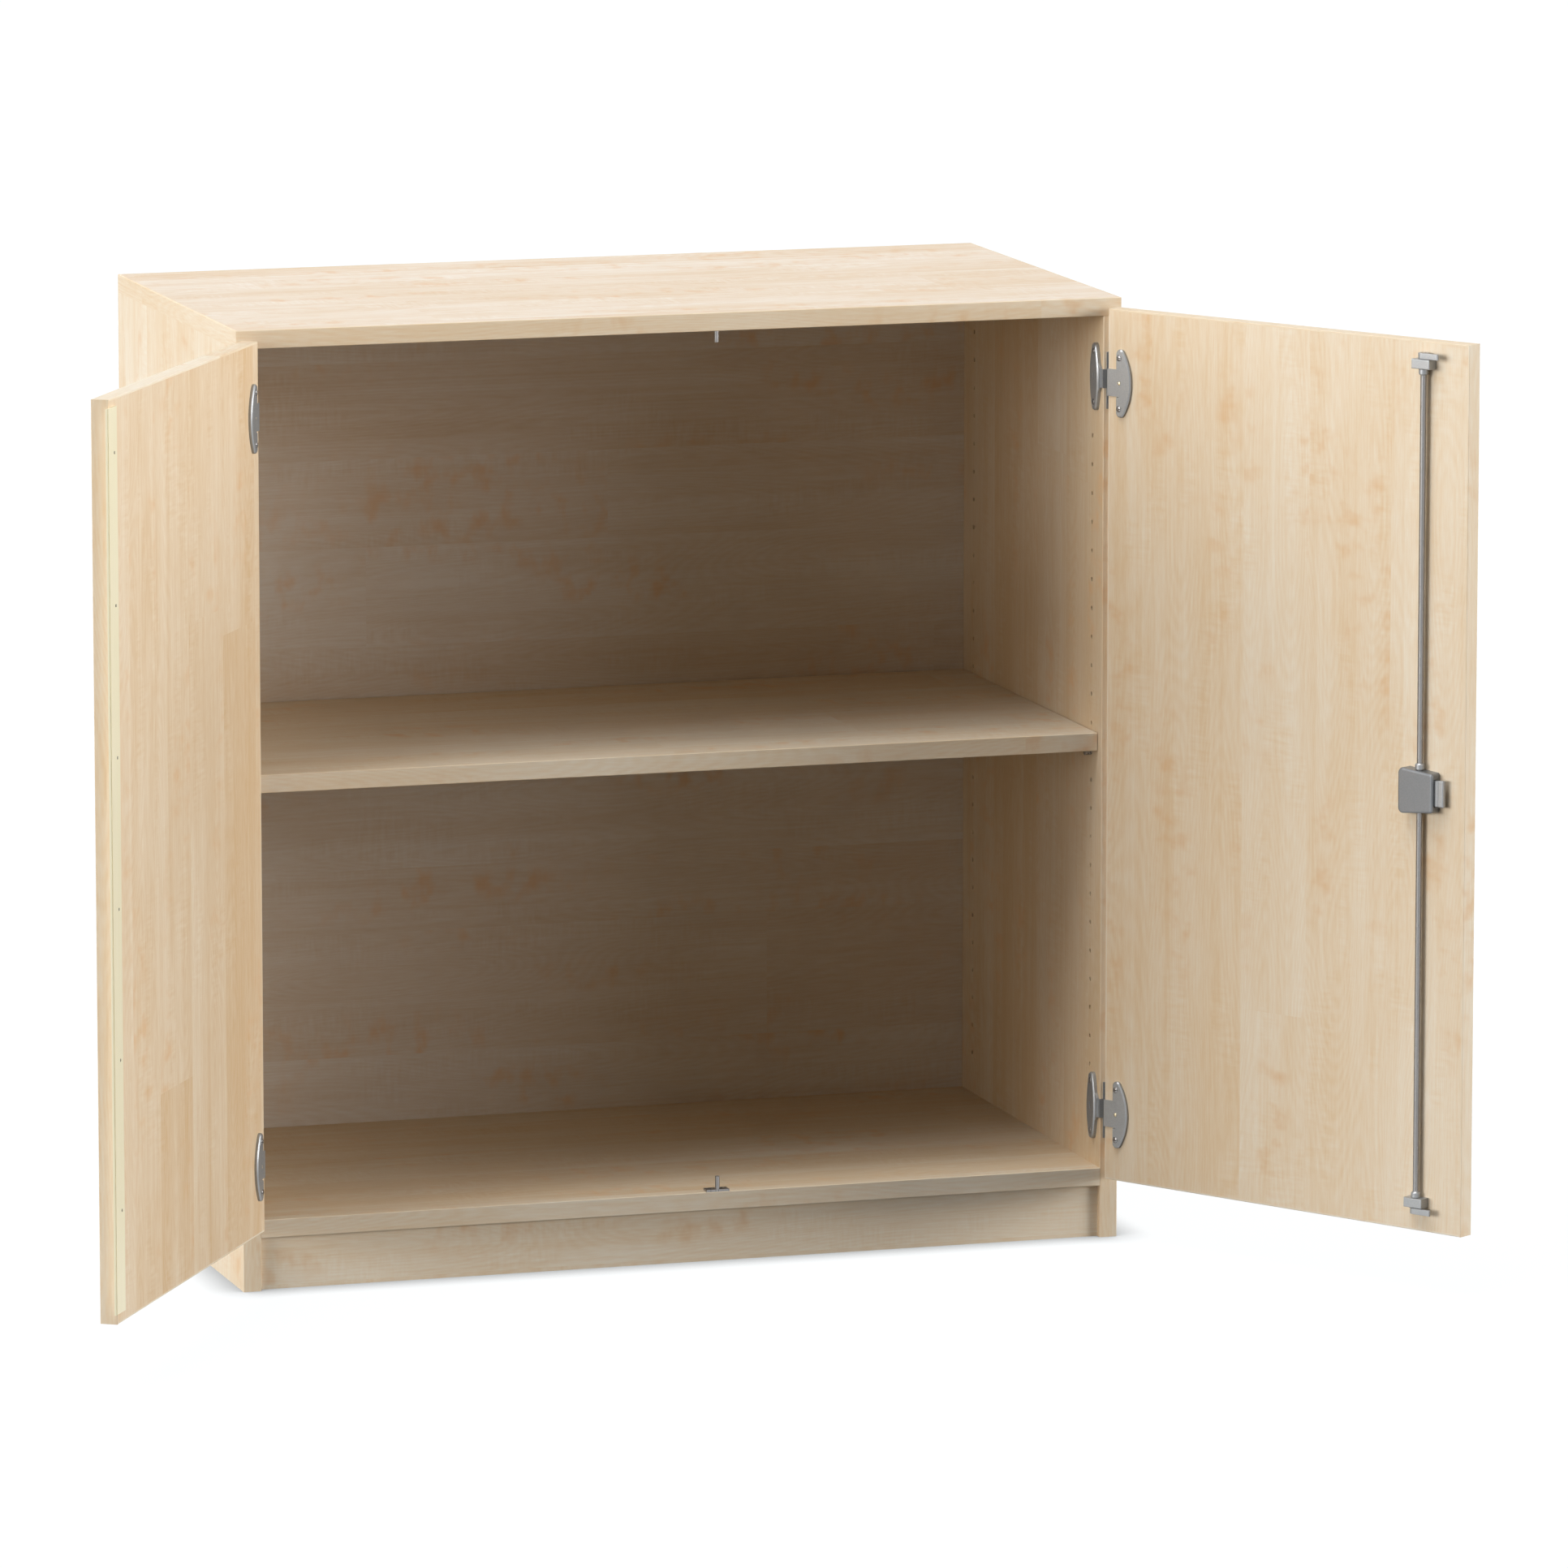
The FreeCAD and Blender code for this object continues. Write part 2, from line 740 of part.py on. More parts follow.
def door_bands():
    """Four bands round the edge of a door, with the edges towards its faces eased."""
    y_range = (outer_face_y, inner_face_y)
    z_full = (door_bottom_z, door_top_z)
    solids = []
    for outside, inside in (
        (free_edge_x, free_edge_x + edge_band),
        (hinge_edge_x, hinge_edge_x - edge_band),
    ):
        strip = box((outside, inside), y_range, z_full)
        eased = edges_at(strip, X=outside, Y=outer_face_y) + edges_at(strip, X=outside, Y=inner_face_y)
        solids.append(rounded(strip, edge_round, eased, edge_band))
    for outside, inside in (
        (door_bottom_z, door_bottom_z + edge_band),
        (door_top_z, door_top_z - edge_band),
    ):
        strip = box((free_edge_x + edge_band, hinge_edge_x - edge_band), y_range, (outside, inside))
        eased = edges_at(strip, Z=outside, Y=outer_face_y) + edges_at(strip, Z=outside, Y=inner_face_y)
        solids.append(rounded(strip, edge_round, eased, edge_band))
    pockets = [hinge_pocket(z) for z in hinge_heights.values()]
    return group([strip.cut(pockets) for strip in solids])


# Closing strip on the left door, drawn on the left

def strip_ends():
    return door_bottom_z + strip_from_door_bottom, door_top_z - strip_from_door_top


def strip_screw_heads():
    highest = strip_ends()[1] - strip_screw_first
    x = -free_edge_x - strip_screw_inset
    y = inner_face_y + strip_thickness
    return [vector(x, y, highest - strip_screw_pitch * i) for i in range(strip_screw_count)]


def closing_strip():
    """Flat base on the door and a lip that reaches behind the other door, with a groove near its tip."""
    top_y = inner_face_y + strip_thickness
    root_x = -free_edge_x
    tip_x = root_x + strip_lip_width
    base = box((root_x - strip_base_width, root_x), (inner_face_y, top_y), strip_ends())
    lip = box((root_x, tip_x), (inner_face_y + strip_lip_gap, top_y), strip_ends())
    groove_end = tip_x - strip_groove_from_tip
    groove_x = (groove_end - strip_groove_width, groove_end)
    groove = box(groove_x, (top_y - strip_groove_depth, top_y), strip_ends())
    return fuse([base, lip]).cut([groove] + screw_holes(strip_screw_heads(), -Y_AXIS, strip_screw))


# Lock on the right door

def case_outline(inset, near_y, far_y):
    """Block with the outline of the lock case, drawn in by an inset, between two depths."""
    tall = case_tall_side / 2 - inset
    short = case_short_side / 2 - inset
    left_x = case_short_x + inset
    right_x = case_tall_x - inset
    corners = [
        vector(left_x, near_y, lock_z - short),
        vector(left_x, near_y, lock_z + short),
        vector(right_x, near_y, lock_z + tall),
        vector(right_x, near_y, lock_z - tall),
    ]
    block = Part.Face(Part.makePolygon(corners + corners[:1])).extrude(vector(0, far_y - near_y, 0))
    for x, half, radius in ((left_x, short, case_corner_short), (right_x, tall, case_corner_tall)):
        for way in (-1, 1):
            edge = edges_at(block, X=x, Z=lock_z + way * half)
            block = block.makeFillet(max(radius - inset, case_least_corner), edge)
    return block


def bolt_window():
    near = inner_face_y + bolt_offset - bolt_play
    far = inner_face_y + bolt_offset + bolt_thickness + bolt_play
    half = bolt_height / 2 + bolt_play
    x_range = (case_short_x - case_wall, case_short_x + 2 * case_wall)
    return box(x_range, (near, far), (lock_z - half, lock_z + half))


def rod_passage():
    length = case_tall_side * 2
    return cylinder(rod_radius + rod_passage_play, vector(rod_x, rod_y, lock_z - length / 2), Z_AXIS, length)


def lock_case():
    front_y = inner_face_y + case_depth
    shell = case_outline(0, inner_face_y, front_y)
    shell = rounded(shell, case_front_round, edges_at(shell, Y=front_y), 2 * case_wall)
    hollow = case_outline(case_wall, inner_face_y, front_y - case_wall)
    return shell.cut([hollow, bolt_window(), rod_passage()])


def base_screw_heads():
    """Head points of the four screws that hold the base plate to the door."""
    heads = []
    for x, side in (
        (case_short_x + case_wall + base_screw_inset_x, case_short_side),
        (case_tall_x - case_wall - base_screw_inset_x, case_tall_side),
    ):
        half = side / 2 - base_screw_inset_z
        for way in (-1, 1):
            heads.append(vector(x, base_front_y, lock_z + way * half))
    return heads


def spindle_hole():
    start = vector(spindle_x, outer_face_y - rosette_thickness, lock_z)
    length = base_front_y - start.y
    return cylinder(spindle_radius + spindle_hole_play, start, Y_AXIS, length)


def lock_base():
    plate = case_outline(case_wall + base_plate_play, inner_face_y, base_front_y)
    return plate.cut([spindle_hole()] + screw_holes(base_screw_heads(), -Y_AXIS, base_screw))


def lock_bolt():
    """Bolt with a full head and a narrower tail that runs in the case."""
    tip_x = case_short_x - bolt_reach
    head_x = tip_x + bolt_head_length
    tail_x = case_short_x + bolt_tail_length
    near = inner_face_y + bolt_offset
    far = near + bolt_thickness
    half = bolt_height / 2
    head = box((tip_x, head_x), (near, far), (lock_z - half, lock_z + half))
    head = bevelled(head, bolt_chamfer, edges_at(head, Y=far), bolt_thickness)
    half -= bolt_neck_step
    tail = box((head_x, tail_x), (near, far - bolt_neck_step), (lock_z - half, lock_z + half))
    return fuse([head, tail])


def upper_rod():
    return cylinder(rod_radius, vector(rod_x, rod_y, lock_z), Z_AXIS, upper_hook_z + hook_height - lock_z)


def lower_rod():
    return cylinder(rod_radius, vector(rod_x, rod_y, lower_hook_z), Z_AXIS, lock_z - lower_hook_z)


def sleeve(radius, z, height):
    """Ring on the rod, from a height upwards."""
    ring = cylinder(radius, vector(rod_x, rod_y, z), Z_AXIS, height)
    bore = cylinder(rod_radius + running_play, vector(rod_x, rod_y, z), Z_AXIS, height)
    return ring.cut(bore)


def rod_hub():
    return sleeve(hub_radius, lock_z - hub_height / 2, hub_height)


def rod_collars():
    """Collars below the upper guide, above the lower guide and above the case, each with a tapered end."""
    slope = (case_tall_side - case_short_side) / 2 / case_width
    case_top = lock_z + case_short_side / 2 + slope * (rod_x + collar_radius - case_short_x)
    places = (
        (upper_guide_bottom - collar_gap - collar_height, -1),
        (lower_guide_top + collar_gap, 1),
        (case_top + collar_gap, 1),
    )
    solids = []
    for z, taper in places:
        ring = sleeve(collar_radius, z, collar_height)
        rims = edges_at(ring, Z=z + collar_height if taper > 0 else z)
        outer = max(rims, key=lambda edge: edge.Length)
        solids.append(bevelled(ring, collar_chamfer, [outer], collar_radius - rod_radius))
    return group(solids)


def hook(z):
    """Turning hook: a hub on the rod's end and a finger that passes behind the strike pin."""
    hub = cylinder(hook_hub_radius, vector(rod_x, rod_y, z), Z_AXIS, hook_height)
    near = strike_y + strike_radius + strike_finger_gap
    far = near + hook_finger_thickness
    tip_x = strike_x - hook_overreach
    finger = box((tip_x, rod_x), (near, far), (z, z + hook_height))
    corners = edges_at(finger, X=tip_x, Y=near) + edges_at(finger, X=tip_x, Y=far)
    finger = rounded(finger, hook_tip_round, corners, hook_finger_thickness / 2)
    bore = cylinder(rod_radius + running_play, vector(rod_x, rod_y, z), Z_AXIS, hook_height)
    return fuse([hub, finger]).cut(bore)


def guide_pegs(play):
    """Pegs of both guides into the door. With play they are the holes for them."""
    pegs = {}
    for name, z in (("upper", upper_guide_bottom), ("lower", lower_guide_bottom)):
        pegs[name] = []
        for way in (-1, 1):
            start = vector(rod_x + way * guide_peg_spacing / 2, inner_face_y, z + guide_height / 2)
            pegs[name].append(cylinder(guide_peg_radius + play, start, -Y_AXIS, guide_peg_length + play))
    return pegs


def rod_guide(name, z):
    """Block on the door that the rod turns in."""
    front_y = inner_face_y + guide_depth
    half = guide_width / 2
    block = box((rod_x - half, rod_x + half), (inner_face_y, front_y), (z, z + guide_height))
    block = rounded(block, guide_edge_round, edges_at(block, Y=front_y), guide_wall)
    bore = cylinder(rod_radius + running_play, vector(rod_x, rod_y, z), Z_AXIS, guide_height)
    return fuse([block] + guide_pegs(0)[name]).cut(bore)


# Drive and knob

def drive_drum():
    start = vector(spindle_x, drum_back_y, lock_z)
    drum = cylinder(drum_radius, start, Y_AXIS, drum_length)
    return drum.cut(cylinder(spindle_radius + running_play, start, Y_AXIS, drum_length))


def rosette():
    start = vector(spindle_x, outer_face_y, lock_z)
    disc = cylinder(rosette_radius, start, -Y_AXIS, rosette_thickness)
    rim_y = outer_face_y - rosette_thickness
    disc = rounded(disc, rosette_round, edges_at(disc, Y=rim_y), rosette_thickness)
    return disc.cut(spindle_hole())


knob_back_y = outer_face_y - rosette_thickness - knob_gap
knob_front_y = knob_back_y - knob_neck_length - knob_head_length


def turn_knob():
    """Round knob on a narrower neck, with bores for the spindle and the key cylinder."""
    start = vector(spindle_x, knob_back_y, lock_z)
    neck = cylinder(knob_neck_radius, start, -Y_AXIS, knob_neck_length)
    head_y = knob_back_y - knob_neck_length
    head = cylinder(knob_radius, vector(spindle_x, head_y, lock_z), -Y_AXIS, knob_head_length)
    rims = edges_at(head, Y=head_y) + edges_at(head, Y=knob_front_y)
    head = rounded(head, knob_round, rims, knob_head_length / 2)
    bore = cylinder(spindle_radius + running_play, start, -Y_AXIS, knob_bore_depth)
    front = vector(spindle_x, knob_front_y, lock_z)
    seat = cylinder(cylinder_radius + running_play, front, Y_AXIS, cylinder_depth)
    return fuse([neck, head]).cut([bore, seat])


def key_cylinder():
    face_y = knob_front_y - cylinder_proud
    front = vector(spindle_x, face_y, lock_z)
    core = cylinder(cylinder_radius, front, Y_AXIS, cylinder_depth + cylinder_proud)
    half_w = key_slot_width / 2
    half_l = key_slot_length / 2
    slot_y = (face_y, face_y + key_slot_depth)
    slot = box((spindle_x - half_w, spindle_x + half_w), slot_y, (lock_z - half_l, lock_z + half_l))
    return core.cut(slot)


def knob_spindle():
    start_y = knob_back_y - knob_bore_depth
    end_y = drum_back_y + drum_length
    return cylinder(spindle_radius, vector(spindle_x, start_y, lock_z), Y_AXIS, end_y - start_y)


# Strikes in the carcass

def upper_strike():
    """Pin that hangs from the top, with a thinner shank in the board."""
    foot = vector(strike_x, strike_y, ceiling_z)
    pin = cylinder(strike_radius, foot, -Z_AXIS, strike_hang)
    return fuse([pin, cylinder(strike_shank_radius, foot, Z_AXIS, strike_shank_length)])


def upper_strike_hole():
    foot = vector(strike_x, strike_y, ceiling_z)
    return cylinder(strike_shank_radius + screw_play, foot, Z_AXIS, strike_shank_length + screw_play)


def strike_screw_heads():
    y = strike_y + strike_screw_behind_pin
    z = floor_z + strike_plate_thickness
    half = strike_screw_spacing / 2
    return [vector(strike_x - half, y, z), vector(strike_x + half, y, z)]


def lower_strike():
    """Pin on a plate that is screwed to the bottom board."""
    half = strike_plate_width / 2
    y_range = (strike_plate_front, strike_plate_front + strike_plate_depth)
    plate = box((strike_x - half, strike_x + half), y_range, (floor_z, floor_z + strike_plate_thickness))
    foot = vector(strike_x, strike_y, floor_z)
    pin = cylinder(strike_radius, foot, Z_AXIS, strike_rise)
    return fuse([plate, pin]).cut(screw_holes(strike_screw_heads(), -Z_AXIS, strike_screw))


# Assembly

def swing(shape, side):
    """Open a door, or a piece on it, to the rest angle."""
    return shape.rotated(vector(side * axis_x, axis_y, 0), Z_AXIS, side * rest_open_angle)


def handed(shape, side):
    return shape if side == RIGHT else mirrored(shape)


def carcass_nodes():
    joints = dowel_holes()
    leaf_holes = []
    for z in hinge_heights.values():
        leaf_holes += screw_holes(side_leaf_screws(z), X_AXIS, main_screw)
    nodes = {
        "left_side_panel": side_panel(LEFT, joints + [mirrored(hole) for hole in leaf_holes]),
        "right_side_panel": side_panel(RIGHT, joints + leaf_holes),
        "top_panel": top_panel(joints + [upper_strike_hole()]),
        "bottom_panel": bottom_panel(joints + screw_holes(strike_screw_heads(), -Z_AXIS, strike_screw)),
        "back_panel": back_panel(),
        "plinth": plinth(joints),
        "rear_rail": rear_rail(joints),
        "carcass_edge_bands": carcass_bands(),
        "carcass_dowels": dowels(),
        "shelf": shelf(),
        "shelf_edge_band": shelf_band(),
        "shelf_pins": shelf_pins(),
        "upper_strike_pin": upper_strike(),
        "lower_strike_plate": lower_strike(),
        "strike_plate_screws": group(screws(strike_screw_heads(), -Z_AXIS, strike_screw)),
    }
    leaf_screws = []
    for side, hand in ((LEFT, "left"), (RIGHT, "right")):
        for level, z in hinge_heights.items():
            nodes[level + "_" + hand + "_hinge_side_leaf"] = handed(side_leaf(z), side)
            nodes[level + "_" + hand + "_hinge_pin"] = handed(hinge_pin(z), side)
            leaf_screws += [handed(one, side) for one in screws(side_leaf_screws(z), X_AXIS, main_screw)]
    nodes["hinge_side_leaf_screws"] = group(leaf_screws)
    return nodes


def door_hinge_nodes(hand, side):
    """The hinge pieces that swing with one door."""
    nodes = {}
    leaf_screws = []
    adjusters = []
    for level, z in hinge_heights.items():
        nodes[level + "_" + hand + "_hinge_door_leaf"] = handed(door_leaf(z), side)
        nodes[level + "_" + hand + "_hinge_tongue"] = handed(tongue(z), side)
        adjusters += screws([adjuster_head(z)], -Y_AXIS, adjuster_screw)
        leaf_screws += screws(door_leaf_screws(z), -Y_AXIS, main_screw)
    nodes[hand + "_hinge_door_leaf_screws"] = handed(group(leaf_screws), side)
    nodes[hand + "_hinge_adjusting_screws"] = handed(group(adjusters), side)
    return nodes


def left_door_nodes():
    strip_holes = screw_holes(strip_screw_heads(), -Y_AXIS, strip_screw)
    nodes = {
        "left_door_panel": mirrored(door_panel(door_drillings())).cut(strip_holes),
        "left_door_edge_bands": mirrored(door_bands()),
        "closing_strip": closing_strip(),
        "closing_strip_screws": group(screws(strip_screw_heads(), -Y_AXIS, strip_screw)),
    }
    nodes.update(door_hinge_nodes("left", LEFT))
    return {name: swing(shape, LEFT) for name, shape in nodes.items()}


def right_door_nodes():
    pegs = guide_pegs(screw_play)
    drillings = door_drillings() + pegs["upper"] + pegs["lower"] + [spindle_hole()]
    drillings += screw_holes(base_screw_heads(), -Y_AXIS, base_screw)
    nodes = {
        "right_door_panel": door_panel(drillings),
        "right_door_edge_bands": door_bands(),
        "lock_case": lock_case(),
        "lock_base_plate": lock_base(),
        "lock_base_screws": group(screws(base_screw_heads(), -Y_AXIS, base_screw)),
        "upper_rod_guide": rod_guide("upper", upper_guide_bottom),
        "lower_rod_guide": rod_guide("lower", lower_guide_bottom),
        "knob_rosette": rosette(),
        "lock_bolt": lock_bolt(),
        "upper_lock_rod": upper_rod(),
        "lower_lock_rod": lower_rod(),
        "lock_rod_hub": rod_hub(),
        "lock_rod_collars": rod_collars(),
        "upper_lock_hook": hook(upper_hook_z),
        "lower_lock_hook": hook(lower_hook_z),
        "turn_knob": turn_knob(),
        "key_cylinder": key_cylinder(),
        "knob_spindle": knob_spindle(),
        "lock_drive_drum": drive_drum(),
    }
    nodes.update(door_hinge_nodes("right", RIGHT))
    return {name: swing(shape, RIGHT) for name, shape in nodes.items()}


def main():
    os.makedirs("parts", exist_ok=True)
    nodes = {**carcass_nodes(), **left_door_nodes(), **right_door_nodes()}
    to_origin = vector(0, -plinth_recess, 0)
    for name, shape in nodes.items():
        shape.translated(to_origin).exportStep("parts/" + name + ".step")


main()
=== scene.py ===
import json
import math

import bmesh
import bpy
from mathutils import Matrix, Vector

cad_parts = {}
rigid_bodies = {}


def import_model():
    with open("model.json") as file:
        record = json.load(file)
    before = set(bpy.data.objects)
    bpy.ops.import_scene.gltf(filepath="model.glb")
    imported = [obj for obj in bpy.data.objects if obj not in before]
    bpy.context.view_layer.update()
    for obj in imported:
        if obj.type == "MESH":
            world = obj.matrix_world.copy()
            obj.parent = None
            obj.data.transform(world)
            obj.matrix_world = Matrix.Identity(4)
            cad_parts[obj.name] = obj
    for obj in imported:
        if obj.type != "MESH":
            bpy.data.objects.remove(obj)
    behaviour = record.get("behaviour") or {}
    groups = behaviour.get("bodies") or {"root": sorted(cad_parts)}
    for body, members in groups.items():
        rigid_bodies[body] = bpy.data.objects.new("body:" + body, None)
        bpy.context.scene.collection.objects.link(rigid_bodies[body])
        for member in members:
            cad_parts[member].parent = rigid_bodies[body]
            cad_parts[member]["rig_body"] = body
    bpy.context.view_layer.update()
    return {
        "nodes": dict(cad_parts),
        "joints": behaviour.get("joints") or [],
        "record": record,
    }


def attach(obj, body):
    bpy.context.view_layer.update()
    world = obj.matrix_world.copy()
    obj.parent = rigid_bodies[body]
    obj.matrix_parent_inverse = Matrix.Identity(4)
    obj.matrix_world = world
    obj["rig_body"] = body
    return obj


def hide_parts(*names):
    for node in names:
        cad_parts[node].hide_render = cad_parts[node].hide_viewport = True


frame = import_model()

# Two-door office cabinet in printed maple boards, standing open on a pale floor.
# Lengths of the frame are in metres, and the patterns of the materials are in millimetres.
MM_PER_M = 1000
X = Vector((1, 0, 0))
Y = Vector((0, 1, 0))
Z = Vector((0, 0, 1))

SLOTS = {item["node"]: item["material_slot"] for item in frame["record"]["subparts"]}
JOINTS = {joint["name"]: joint for joint in frame["joints"]}


# Small helpers for materials

def linear(colour):
    """The linear colour of an sRGB hex value."""
    channels = [int(colour[i:i + 2], 16) / 255 for i in (1, 3, 5)]
    return [c / 12.92 if c <= 0.04045 else ((c + 0.055) / 1.055) ** 2.4 for c in channels] + [1.0]


def add(tree, kind, inputs, **settings):
    """One node. Its inputs, by name or number, are values, or the nodes or outputs that feed them."""
    node = tree.nodes.new(kind)
    for name, value in settings.items():
        setattr(node, name, value)
    for name, value in inputs.items():
        found = [socket for socket in node.inputs if socket.name == name and socket.enabled]
        socket = found[0] if found else node.inputs[name]
        if isinstance(value, bpy.types.Node):
            value = [output for output in value.outputs if output.enabled][0]
        if isinstance(value, bpy.types.NodeSocket):
            tree.links.new(value, socket)
        else:
            socket.default_value = value
    return node


def new_material(name):
    material = bpy.data.materials.new(name)
    material.use_nodes = True
    material.node_tree.nodes.clear()
    return material, material.node_tree


def surface(tree, **sockets):
    """The shader and output of a material. Socket names are written with _ for a blank."""
    inputs = {name.replace("_", " "): value for name, value in sockets.items()}
    shader = add(tree, "ShaderNodeBsdfPrincipled", inputs)
    add(tree, "ShaderNodeOutputMaterial", {"Surface": shader})


def grain_coordinates(tree, along, across, shift=(0, 0, 0)):
    """Millimetres on a piece: X along its grain, Y across it. shift picks another stretch of the pattern."""
    turn = Matrix((along, across, along.cross(across))).to_euler()
    place = add(tree, "ShaderNodeTexCoord", {}).outputs["Object"]
    scale = (MM_PER_M, MM_PER_M, MM_PER_M)
    inputs = {"Vector": place, "Location": shift, "Rotation": turn, "Scale": scale}
    return add(tree, "ShaderNodeMapping", inputs)


# Most of a noise lies between these two values
NOISE_LOW = 0.25
NOISE_HIGH = 0.75


def figure(tree, place, size, detail=2.0):
    """Cloudy pattern from about -1 to 1. Its size is the length of a patch along the grain and its width."""
    length, width = size
    stretch = (1 / length, 1 / width, 1 / width)
    squeezed = add(tree, "ShaderNodeVectorMath", {0: place, 1: stretch}, operation="MULTIPLY")
    noise = add(tree, "ShaderNodeTexNoise", {"Vector": squeezed, "Scale": 1.0, "Detail": detail})
    limits = {"Value": noise, "From Min": NOISE_LOW, "From Max": NOISE_HIGH, "To Min": -1.0, "To Max": 1.0}
    return add(tree, "ShaderNodeMapRange", limits, clamp=False)


def patches(tree, place, size, limits, detail=2.0):
    """Patches of a figure: 0 where it is below the lower limit, 1 above the upper one, smooth between."""
    low, high = limits
    inputs = {"Value": figure(tree, place, size, detail), "From Min": low, "From Max": high}
    return add(tree, "ShaderNodeMapRange", inputs, interpolation_type="SMOOTHSTEP")


def weighted(tree, start, parts):
    """A start value plus each pattern times its weight."""
    total = start
    for pattern, weight in parts:
        total = add(tree, "ShaderNodeMath", {0: pattern, 1: weight, 2: total}, operation="MULTIPLY_ADD")
    return total


def toned(tree, tones, parts, start=0.5):
    """Colour from a light tone to a dark one, as weighted patterns move it away from where it starts."""
    light, dark = tones
    share = weighted(tree, start, parts)
    inputs = {"Factor": share, "A": linear(light), "B": linear(dark)}
    return add(tree, "ShaderNodeMix", inputs, data_type="RGBA")


# Maple laminate: chipboard faced with a printed maple decor under a matt melamine skin. The eye gets cream
# and tan planks butted side by side, soft long streaks, a few soft orange flames, faint curved rings and a
# cross ripple. Real fibres and rings lie about 1 mm apart. They are drawn coarser, so that they show at a
# distance. The boards inside are drawn darker and greyer than those outside, which is painted shade of the
# cabinet's inside. The left door is a shade darker than the right one. The top has the strongest figure, and
# its whiter light tone is partly painted sheen.
OUTER_MAPLE = ("#F2E8D6", "#E5CAA5")
LEFT_DOOR_MAPLE = ("#F0E1CA", "#DDBE96")
# Painted sheen: the top's light tone is whiter than that of the other outer boards.
TOP_MAPLE_AND_SHEEN = ("#F6EFE6", "#DFC4A2")
# Painted shade: the inner and back boards are darker and greyer than the outer ones.
SHADED_INNER_MAPLE = ("#E5DBCA", "#D8BF9C")
SHADED_BACK_MAPLE = ("#E8E2DB", "#D6C3AC")
MAPLE_FLAME = "#E0B584"
# Planks, and how far the pattern jumps from one plank to the next
PLANK_LENGTH = 2400
PLANK_WIDTH = 112
PLANK_STAGGER = 5 * PLANK_LENGTH
PLANK_JUMP = (4000, 900, 900)
# Patterns: length along the grain and width across it
STREAK_SIZE = (900, 13)
LINE_SIZE = (500, 3.6)
CLOUD_SIZE = (240, 46)
FIBRE_SIZE = (18, 1.7)
RING_SIZE = (420, 60)
RIPPLE_SIZE = (4.5, 26)
RIPPLE_PATCH = (130, 45)
FLAME_SIZE = (22, 30)
FLAME_PATCH = (220, 60)
# How many radians of the rings' wave lie in one unit of the figure that they follow
RING_WAVE = 50.0
# What each pattern adds to the darker tone. An average board starts at a quarter of it.
AVERAGE_TAN = 0.25
PLANK_WEIGHT = 0.32
STREAK_WEIGHT = 0.12
LINE_WEIGHT = 0.09
CLOUD_WEIGHT = 0.22
RING_WEIGHT = 0.07
FIBRE_WEIGHT = 0.15
BOARD_RIPPLE = 0.14
BAND_RIPPLE = 0.03
FLAME_STRENGTH = 0.62
# How far the matt skin follows the fibres, in metres
FIBRE_DEPTH = 0.0002


